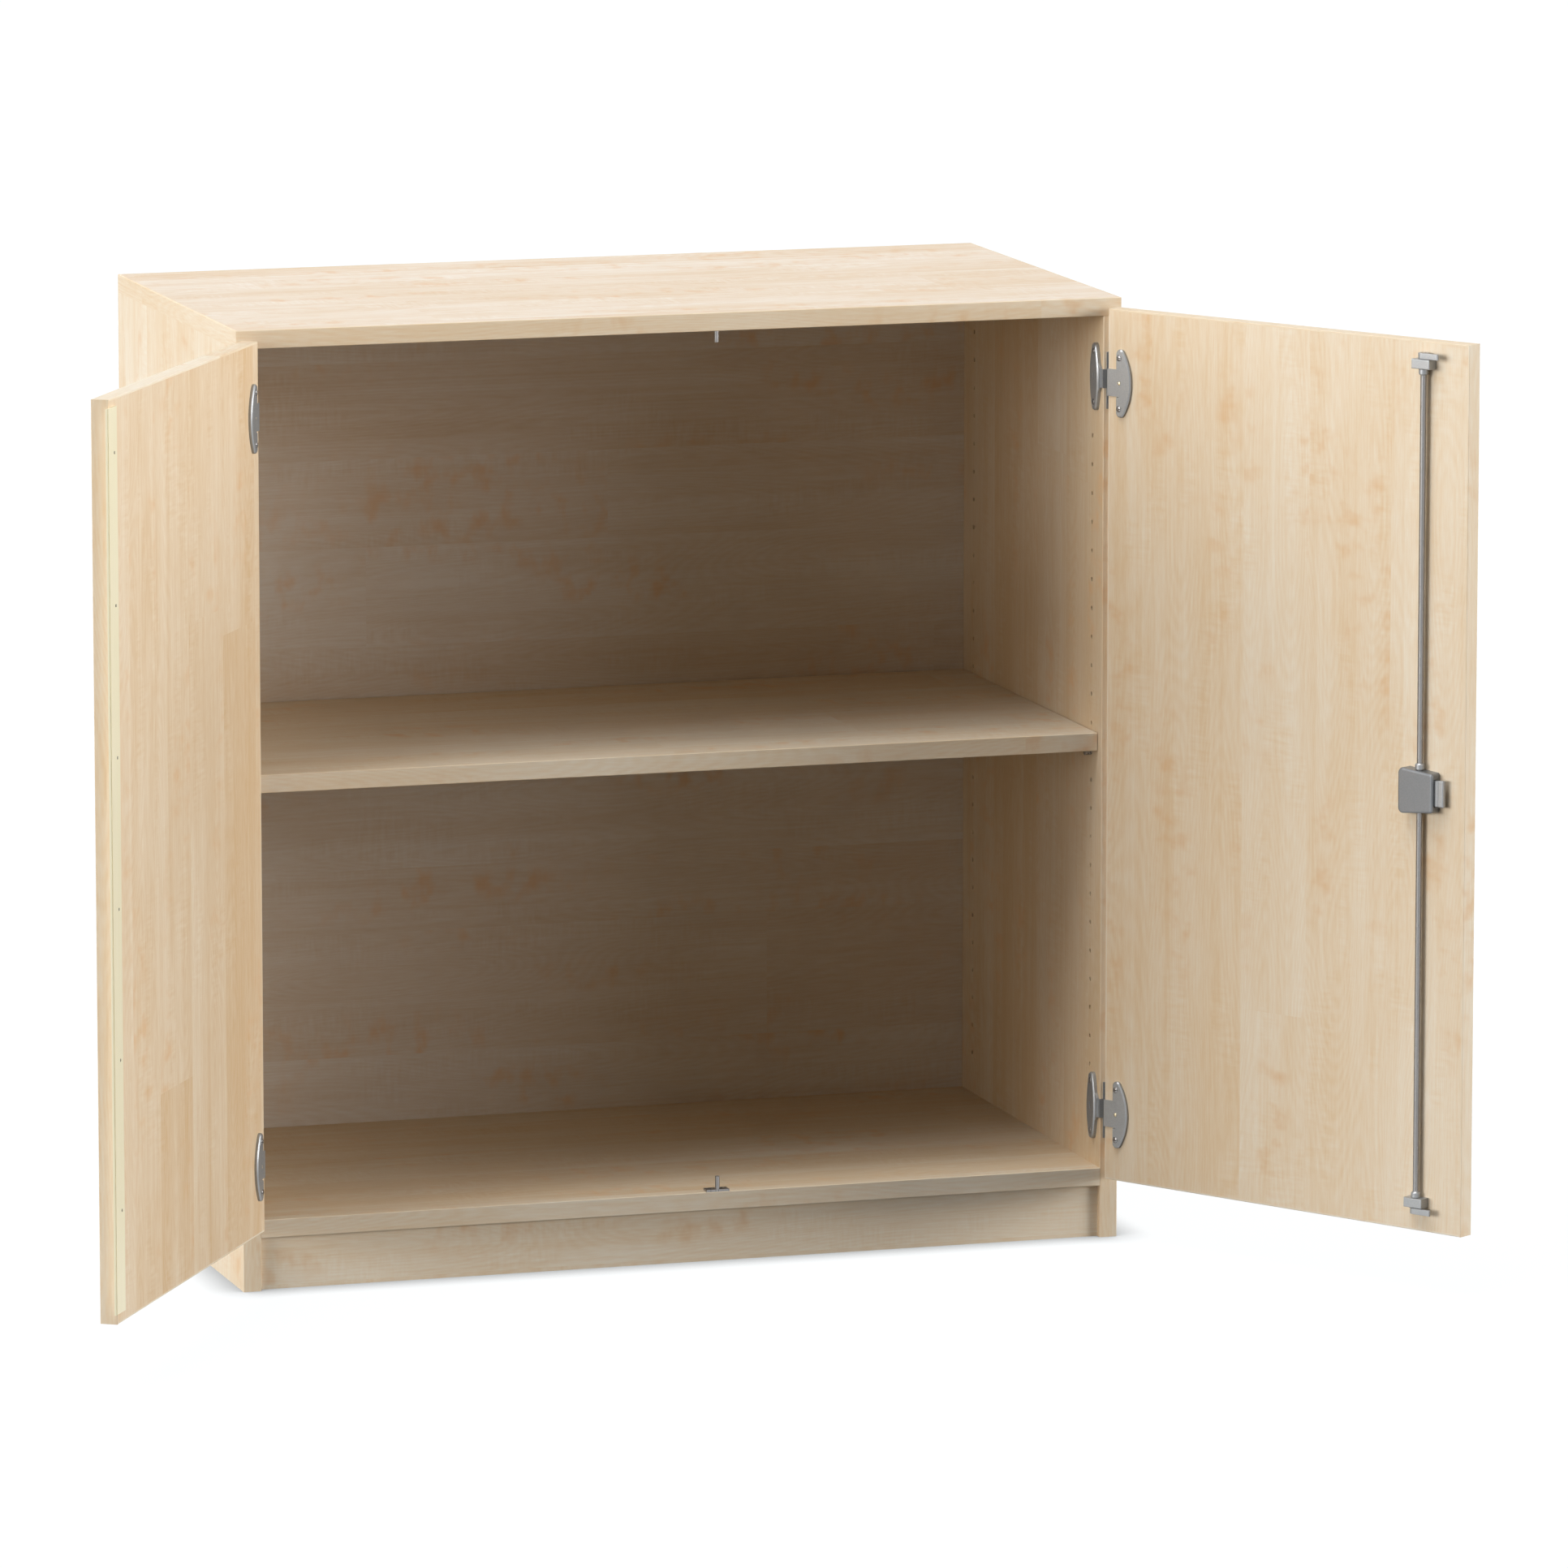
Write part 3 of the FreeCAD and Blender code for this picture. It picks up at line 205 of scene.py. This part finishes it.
def maple_laminate(name, along, across, shift, tones, tan, ripple_weight=BOARD_RIPPLE):
    """A board's decor. tan is what this board has more of the darker tone than an average one; on many
    boards and bands it also paints light and shade.
    """
    material, tree = new_material(name)
    board = grain_coordinates(tree, along, across, shift)
    ways = add(tree, "ShaderNodeSeparateXYZ", {0: board}).outputs
    cells = {"W": ways["Y"], "Scale": 1 / PLANK_WIDTH, "Randomness": 0.8}
    row = add(tree, "ShaderNodeTexVoronoi", cells, voronoi_dimensions="1D").outputs["Color"]
    row_start = add(tree, "ShaderNodeSeparateXYZ", {0: row}).outputs["X"]
    lengthways = weighted(tree, ways["X"], ((row_start, PLANK_STAGGER),))
    cells = {"W": lengthways, "Scale": 1 / PLANK_LENGTH, "Randomness": 0.7}
    plank = add(tree, "ShaderNodeTexVoronoi", cells, voronoi_dimensions="1D").outputs["Color"]
    plank = add(tree, "ShaderNodeVectorMath", {0: row, 1: plank}, operation="ADD")
    jump = {0: plank, 1: PLANK_JUMP, 2: board}
    place = add(tree, "ShaderNodeVectorMath", jump, operation="MULTIPLY_ADD")
    plank_tone = add(tree, "ShaderNodeSeparateXYZ", {0: plank}).outputs["Z"]

    streaks = figure(tree, place, STREAK_SIZE)
    lines = figure(tree, place, LINE_SIZE, 1.0)
    clouds = figure(tree, place, CLOUD_SIZE)
    fibres = figure(tree, place, FIBRE_SIZE)
    wave = {0: figure(tree, place, RING_SIZE, 0.0), 1: RING_WAVE}
    rings = add(tree, "ShaderNodeMath", wave, operation="MULTIPLY")
    rings = add(tree, "ShaderNodeMath", {0: rings}, operation="SINE")
    ripple = figure(tree, place, RIPPLE_SIZE, 1.0)
    ripple_share = patches(tree, place, RIPPLE_PATCH, (0.0, 0.6))
    ripple = add(tree, "ShaderNodeMath", {0: ripple, 1: ripple_share}, operation="MULTIPLY")
    parts = (
        (plank_tone, PLANK_WEIGHT),
        (streaks, STREAK_WEIGHT),
        (lines, LINE_WEIGHT),
        (clouds, CLOUD_WEIGHT),
        (rings, RING_WEIGHT),
        (fibres, FIBRE_WEIGHT),
        (ripple, ripple_weight),
    )
    decor = toned(tree, tones, parts, AVERAGE_TAN + tan)

    flames = patches(tree, place, FLAME_SIZE, (-0.2, 1.3))
    flame_share = patches(tree, place, FLAME_PATCH, (0.0, 0.9), 0.0)
    flames = add(tree, "ShaderNodeMath", {0: flames, 1: flame_share}, operation="MULTIPLY")
    flames = add(tree, "ShaderNodeMath", {0: flames, 1: FLAME_STRENGTH}, operation="MULTIPLY")
    inputs = {"Factor": flames, "A": decor, "B": linear(MAPLE_FLAME)}
    colour = add(tree, "ShaderNodeMix", inputs, data_type="RGBA")

    roughness = weighted(tree, 0.66, ((fibres, 0.04), (clouds, 0.03)))
    relief = add(tree, "ShaderNodeBump", {"Height": fibres, "Strength": 0.05, "Distance": FIBRE_DEPTH})
    surface(tree, Base_Color=colour, Roughness=roughness, Specular_IOR_Level=0.12, Normal=relief)
    return material


# Satin nickel: die-cast zinc under a blasted nickel plating and a clear lacquer. The eye gets a cool soft
# grey with a fine even grain and bright rims. The blasted grain is finer than this in life; it is drawn
# coarser to show. The hinges and guides are paler than the lock.
HINGE_NICKEL = ("#A9ABAC", "#989A9C")
LOCK_NICKEL = ("#85878A", "#777A7D")
BLAST_GRAIN = (1.6, 1.6)
NICKEL_CLOUD = (30, 30)


def satin_nickel(name, tones):
    material, tree = new_material(name)
    place = grain_coordinates(tree, X, Y)
    grain = figure(tree, place, BLAST_GRAIN)
    clouds = figure(tree, place, NICKEL_CLOUD)
    colour = toned(tree, tones, ((grain, 0.3), (clouds, 0.25)))
    roughness = weighted(tree, 0.36, ((grain, 0.04), (clouds, 0.03)))
    surface(tree, Base_Color=colour, Metallic=0.5, Roughness=roughness)
    return material


# Drawn steel with a zinc plating. The eye gets a darker grey with lines along the rods and a sharper shine.
# The lines are coarser than in life, so that they show.
# The small screws in the closing strip are drawn in a darker, browner steel.
BRIGHT_STEEL = ("#9C9A99", "#878584")
DULL_STEEL = ("#6A6055", "#4E463E")
DRAWING_LINE = (60, 1.4)
ZINC_CLOUD = (40, 40)


def zinc_plated_steel(name, tones):
    material, tree = new_material(name)
    place = grain_coordinates(tree, Z, X)
    lines = figure(tree, place, DRAWING_LINE)
    clouds = figure(tree, place, ZINC_CLOUD)
    colour = toned(tree, tones, ((lines, 0.25), (clouds, 0.25)))
    roughness = weighted(tree, 0.28, ((lines, 0.04), (clouds, 0.03)))
    surface(tree, Base_Color=colour, Metallic=0.7, Roughness=roughness)
    return material


# Extruded cream plastic. The eye gets a warm even cream with a soft sheen and faint lines along the strip.
# The lines are drawn coarser than in life, so that they show.
STRIP_CREAM = ("#F8F0D3", "#F1E8C6")
EXTRUSION_LINE = (300, 1.5)
CREAM_CLOUD = (120, 30)


def cream_plastic():
    material, tree = new_material("cream_plastic")
    place = grain_coordinates(tree, Z, X)
    lines = figure(tree, place, EXTRUSION_LINE)
    clouds = figure(tree, place, CREAM_CLOUD)
    colour = toned(tree, STRIP_CREAM, ((lines, 0.25), (clouds, 0.25)))
    roughness = weighted(tree, 0.42, ((lines, 0.04),))
    surface(tree, Base_Color=colour, Roughness=roughness)
    return material


# Turned brass of the adjusting screws and the key cylinder. The eye gets a small warm spark with a fine
# grain, which is drawn coarser than in life, so that it shows.
BRASS = ("#F4EAD2", "#DCC896")
BRASS_GRAIN = (1.5, 1.5)


def turned_brass():
    material, tree = new_material("turned_brass")
    place = grain_coordinates(tree, X, Y)
    grain = figure(tree, place, BRASS_GRAIN)
    colour = toned(tree, BRASS, ((grain, 0.4),))
    roughness = weighted(tree, 0.3, ((grain, 0.06),))
    surface(tree, Base_Color=colour, Metallic=0.7, Roughness=roughness)
    return material


# Raw beech of the dowels. The eye gets a pinkish brown with short dark flecks.
BEECH = ("#D9B48A", "#C09468")
BEECH_FLECK = (20, 1.5)


def raw_beech():
    material, tree = new_material("raw_beech")
    place = grain_coordinates(tree, X, Y)
    flecks = figure(tree, place, BEECH_FLECK)
    colour = toned(tree, BEECH, ((flecks, 0.4),))
    surface(tree, Base_Color=colour, Roughness=0.7)
    return material


# Boards: the way of the grain, the way across it, a stretch of the pattern, the tones, and how much more tan

def door_width_way(hinge):
    """Direction across a door at rest, worked out from how far its hinge is from shut."""
    joint = JOINTS[hinge]
    turn = -joint["axis"][2] * math.radians(joint["range_deg"][0])
    return Vector((math.cos(turn), math.sin(turn), 0))


left_across = door_width_way("left_door_hinge")
right_across = door_width_way("right_door_hinge")
# The tones and tans below are partly painted light and shade: boards inside are drawn darker and greyer, and
# outer boards paler where they are to look more brightly lit.
BOARDS = {
    "left_side_panel": (Z, Y, (0, 40, 0), OUTER_MAPLE, -0.1),
    "right_side_panel": (Z, Y, (900, 310, 0), SHADED_INNER_MAPLE, 0.1),
    "top_panel": (X, Y, (300, 77, 0), TOP_MAPLE_AND_SHEEN, -0.1),
    "bottom_panel": (X, Y, (1700, 520, 0), SHADED_INNER_MAPLE, -0.1),
    "shelf": (X, Y, (2900, 1210, 0), SHADED_INNER_MAPLE, -0.25),
    "back_panel": (X, Z, (400, 60, 0), SHADED_BACK_MAPLE, -0.25),
    "plinth": (X, Z, (800, 1900, 0), OUTER_MAPLE, -0.15),
    "rear_rail": (X, Z, (2100, 1500, 0), OUTER_MAPLE, -0.05),
    "left_door_panel": (Z, left_across, (500, 600, 0), LEFT_DOOR_MAPLE, 0.0),
    "right_door_panel": (Z, right_across, (1500, 2778, 0), OUTER_MAPLE, -0.08),
}
# Edge bands: the ways that the bands of a board can run, each with the way across it and its tan
# These tans are partly painted light and shade: most bands are drawn paler, so that the edges look as bright
# as lit edges.
BANDS = {
    "carcass_edge_bands": ((X, Z, -0.1), (Z, X, -0.05), (Y, Z, -0.05)),
    "shelf_edge_band": ((X, Z, -0.1),),
    "left_door_edge_bands": ((Z, left_across, 0.2), (left_across, Z, -0.3)),
    "right_door_edge_bands": ((Z, right_across, -0.4), (right_across, Z, -0.3)),
}
BAND_SHIFT = (2500, 700, 0)

# Finishes by material slot, and those of single pieces that differ from their slot
FINISHES = {
    "satin_nickel": satin_nickel("satin_nickel", HINGE_NICKEL),
    "zinc_plated_steel": zinc_plated_steel("zinc_plated_steel", BRIGHT_STEEL),
    "cream_plastic": cream_plastic(),
    "brass": turned_brass(),
    "beech_dowel": raw_beech(),
}
OWN_FINISHES = {
    "lock_case": satin_nickel("satin_nickel_lock", LOCK_NICKEL),
    "upper_lock_hook": FINISHES["satin_nickel"],
    "lower_lock_hook": FINISHES["satin_nickel"],
    "lock_rod_collars": FINISHES["satin_nickel"],
    "closing_strip_screws": zinc_plated_steel("zinc_plated_steel_dull", DULL_STEEL),
}

# Copies of CAD pieces for the eye, with their triangles merged
MERGE_DISTANCE = 1e-6
FLAT_ANGLE = math.radians(1)
SHARP_ANGLE = math.radians(25)
BROKEN_EDGE = 0.0003
SOFT_EDGE = 0.0009
SOFT_PIECES = ("hook", "leaf", "guide", "bolt", "tongue", "case")
# Screws with raised heads: the way that those left and right of the middle face, and the way of their slots
left_inward = Z.cross(left_across)
right_inward = Z.cross(right_across)
RAISED_SCREWS = {
    "left_hinge_door_leaf_screws": (left_inward, left_inward, left_across),
    "right_hinge_door_leaf_screws": (right_inward, right_inward, right_across),
    "left_hinge_adjusting_screws": (left_inward, left_inward, left_across),
    "right_hinge_adjusting_screws": (right_inward, right_inward, right_across),
    "hinge_side_leaf_screws": (X, -X, Z),
}
FLAT_DEPTH = 1e-5
HEAD_RISE = 0.0011
HEAD_SLOT = 0.0008


def merged_copy(name):
    """Mesh of a CAD piece as joined faces, to be shaped further."""
    shape = bmesh.new()
    shape.from_mesh(frame["nodes"][name].data)
    bmesh.ops.remove_doubles(shape, verts=shape.verts, dist=MERGE_DISTANCE)
    bmesh.ops.dissolve_limit(shape, angle_limit=FLAT_ANGLE, verts=shape.verts, edges=shape.edges)
    return shape


def stand_in(name, shape, finishes):
    """Show a shape in the place of a CAD piece, on the same body."""
    mesh = bpy.data.meshes.new(name + "_shown")
    shape.to_mesh(mesh)
    shape.free()
    mesh.shade_smooth()
    for finish in finishes:
        mesh.materials.append(finish)
    piece = bpy.data.objects.new(name + "_shown", mesh)
    bpy.context.scene.collection.objects.link(piece)
    piece.modifiers.new("even_shading", "WEIGHTED_NORMAL").keep_sharp = True
    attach(piece, frame["nodes"][name]["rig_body"])
    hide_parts(name)


def plain_piece(name, finish):
    """A CAD piece that is shown as it is."""
    materials = frame["nodes"][name].data.materials
    materials.clear()
    materials.append(finish)


def eased_piece(name, finish):
    """A small piece with its sharp edges broken, so that they catch the light."""
    shape = merged_copy(name)
    soft = any(word in name for word in SOFT_PIECES) and "screws" not in name
    sharp = [edge for edge in shape.edges if edge.is_manifold and edge.calc_face_angle() > SHARP_ANGLE]
    bmesh.ops.bevel(
        shape,
        geom=sharp,
        offset=SOFT_EDGE if soft else BROKEN_EDGE,
        offset_type="OFFSET",
        affect="EDGES",
        segments=2,
        profile=0.5,
        material=-1,
        clamp_overlap=True,
    )
    if name in RAISED_SCREWS:
        raise_heads(shape, *RAISED_SCREWS[name])
    stand_in(name, shape, [finish])


def separate_solids(shape):
    """The faces of a shape, sorted into its solids. Edges at which two solids touch aren't crossed."""
    left = set(shape.faces)
    solids = []
    while left:
        waiting = [left.pop()]
        solid = []
        while waiting:
            face = waiting.pop()
            solid.append(face)
            for edge in face.edges:
                beside = [other for other in edge.link_faces if edge.is_manifold and other in left]
                left.difference_update(beside)
                waiting += beside
        solids.append(solid)
    return solids


def slotted_cap(centre, facing, slot_way, radius):
    """Round cap of a screw head in two halves, with the slot between them."""
    across = facing.cross(slot_way)
    flatten = Matrix.Translation(centre) @ Matrix.Scale(HEAD_RISE / radius, 4, facing)
    halves = bpy.data.meshes.new("cap")
    whole = bmesh.new()
    for side in (across, -across):
        half = bmesh.new()
        bmesh.ops.create_uvsphere(half, u_segments=24, v_segments=12, radius=radius, matrix=flatten)
        for point, way in ((centre, facing), (centre + side * HEAD_SLOT / 2, side)):
            everything = half.verts[:] + half.edges[:] + half.faces[:]
            bmesh.ops.bisect_plane(half, geom=everything, plane_co=point, plane_no=way, clear_inner=True)
            bmesh.ops.holes_fill(half, edges=[edge for edge in half.edges if edge.is_boundary])
            bmesh.ops.dissolve_degenerate(half, dist=MERGE_DISTANCE, edges=half.edges)
        half.to_mesh(halves)
        half.free()
        whole.from_mesh(halves)
    whole.to_mesh(halves)
    whole.free()
    return halves


def raise_heads(shape, left_facing, right_facing, slot_way):
    """Put a round cap on each screw of a shape. Screws left and right of the middle may face apart."""
    caps = []
    for solid in separate_solids(shape):
        corners = [vert.co for face in solid for vert in face.verts]
        facing = left_facing if corners[0].x < 0 else right_facing
        height = max(corner.dot(facing) for corner in corners)
        top = [corner for corner in corners if corner.dot(facing) > height - FLAT_DEPTH]
        middle = []
        for way in (facing, slot_way, facing.cross(slot_way)):
            places = [corner.dot(way) for corner in top]
            middle.append(way * (min(places) + max(places)) / 2)
        centre = sum(middle, Vector())
        radius = max((corner - centre).length for corner in top)
        caps.append(slotted_cap(centre, facing, slot_way, radius))
    for cap in caps:
        shape.from_mesh(cap)
        bpy.data.meshes.remove(cap)


def grained_bands(name, ways):
    """Edge bands on which the grain runs along each band."""
    shape = merged_copy(name)
    for solid in separate_solids(shape):
        corners = [vert.co for face in solid for vert in face.verts]
        reach = [[corner.dot(along) for corner in corners] for along, across, tan in ways]
        lengths = [max(values) - min(values) for values in reach]
        for face in solid:
            face.material_index = lengths.index(max(lengths))
    for edge in shape.edges:
        edge.smooth = edge.is_manifold and edge.calc_face_angle() < SHARP_ANGLE
    finishes = []
    for number, (along, across, tan) in enumerate(ways):
        label = "maple_edge_band_%s_%d" % (name, number)
        finishes.append(maple_laminate(label, along, across, BAND_SHIFT, OUTER_MAPLE, tan, BAND_RIPPLE))
    stand_in(name, shape, finishes)


for name in frame["nodes"]:
    if name in BOARDS:
        plain_piece(name, maple_laminate("maple_laminate_" + name, *BOARDS[name]))
    elif name in BANDS:
        grained_bands(name, BANDS[name])
    elif name == "carcass_dowels":
        plain_piece(name, FINISHES[SLOTS[name]])
    else:
        eased_piece(name, OWN_FINISHES.get(name, FINISHES[SLOTS[name]]))


# Floor, light and camera
FLOOR_REACH = 20.0
FLOOR_GREY = "#4C4C4C"
FLOOR_WHITE = "#F9FBFC"
CONTACT_REACH = 0.045
BACKDROP_WHITE = "#FFFFFF"
# Lamps: azimuth and elevation in degrees, and strength. Azimuth 0 is in front of the cabinet and 90 at its
# right.
LAMPS = {
    "low_left_lamp": (-75, 8, 1.54),
    "side_left_lamp": (-98, 8, 0.8),
    "front_left_lamp": (-60, 8, 0.34),
    "high_left_lamp": (-88, 68, 0.83),
    "left_fill": (-60, 50, 0.45),
    "high_front_lamp": (-40, 70, 0.47),
    "top_lamp": (0, 88, 0.56),
    "right_fill": (45, 8, 0.5),
    "low_right_lamp": (60, 8, 1.9),
    "side_right_lamp": (90, 8, 0.97),
    "rear_lamp": (180, 4, 1.6),
}
LAMP_SPREAD = math.radians(24)
# The photograph's view: where the camera stands, and the way from the cabinet back to it
CAMERA_PLACE = (-3.4237, -11.447, 2.5454)
CAMERA_BACK = (-0.2913, -0.9421, 0.1661)
CAMERA_REACH = 100.0
SENSOR_MM = 36.0
LENS_MM = 255.1


def seen_rays(tree):
    """1 for what the camera sees, straight or in a reflection, and 0 for light that falls on the cabinet."""
    path = add(tree, "ShaderNodeLightPath", {}).outputs
    straight_or_gloss = {0: path["Is Camera Ray"], 1: path["Is Glossy Ray"]}
    seen = add(tree, "ShaderNodeMath", straight_or_gloss, operation="MAXIMUM")
    return add(tree, "ShaderNodeMath", {0: seen, 1: path["Is Transmission Ray"]}, operation="MAXIMUM")


def floor():
    """Pale floor that runs out into the white round it, with a painted shadow where the cabinet stands on
    it.
    """
    mesh = bpy.data.meshes.new("floor")
    shape = bmesh.new()
    bmesh.ops.create_grid(shape, x_segments=1, y_segments=1, size=FLOOR_REACH)
    shape.to_mesh(mesh)
    shape.free()
    piece = bpy.data.objects.new("floor", mesh)
    bpy.context.scene.collection.objects.link(piece)
    material, tree = new_material("floor_paper")
    shader = add(tree, "ShaderNodeBsdfDiffuse", {"Color": linear(FLOOR_GREY)})
    # Painted shadow: the glow that the camera sees is darkened where the cabinet is close to the floor.
    near = add(tree, "ShaderNodeAmbientOcclusion", {"Distance": CONTACT_REACH}, samples=8).outputs["AO"]
    lift = add(tree, "ShaderNodeMath", {0: near, 1: seen_rays(tree)}, operation="MULTIPLY")
    glow = add(tree, "ShaderNodeEmission", {"Color": linear(FLOOR_WHITE), "Strength": lift})
    shader = add(tree, "ShaderNodeAddShader", {0: shader, 1: glow})
    add(tree, "ShaderNodeOutputMaterial", {"Surface": shader})
    mesh.materials.append(material)


def lamp(name, azimuth, elevation, strength):
    """Large soft lamp a long way off."""
    light = bpy.data.lights.new(name, "SUN")
    light.angle = LAMP_SPREAD
    light.energy = strength
    piece = bpy.data.objects.new(name, light)
    piece.rotation_euler = (math.radians(90 - elevation), 0, math.radians(azimuth))
    bpy.context.scene.collection.objects.link(piece)


def studio():
    """White room for the eye and for shine. The lamps alone light the cabinet."""
    world = bpy.data.worlds.new("studio")
    bpy.context.scene.world = world
    world.use_nodes = True
    tree = world.node_tree
    tree.nodes.clear()
    white = {"Color": linear(BACKDROP_WHITE), "Strength": seen_rays(tree)}
    backdrop = add(tree, "ShaderNodeBackground", white)
    add(tree, "ShaderNodeOutputWorld", {"Surface": backdrop})


def camera():
    """The view of the photograph: from the left and a little above, through a long lens."""
    data = bpy.data.cameras.new("camera")
    data.sensor_fit = "HORIZONTAL"
    data.sensor_width = SENSOR_MM
    data.lens = LENS_MM
    data.clip_end = CAMERA_REACH
    piece = bpy.data.objects.new("camera", data)
    piece.location = CAMERA_PLACE
    piece.rotation_euler = Vector(CAMERA_BACK).to_track_quat("Z", "Y").to_euler()
    bpy.context.scene.collection.objects.link(piece)
    bpy.context.scene.camera = piece


floor()
studio()
for name, (azimuth, elevation, strength) in LAMPS.items():
    lamp(name, azimuth, elevation, strength)
camera()
bpy.context.scene.view_settings.view_transform = "Standard"
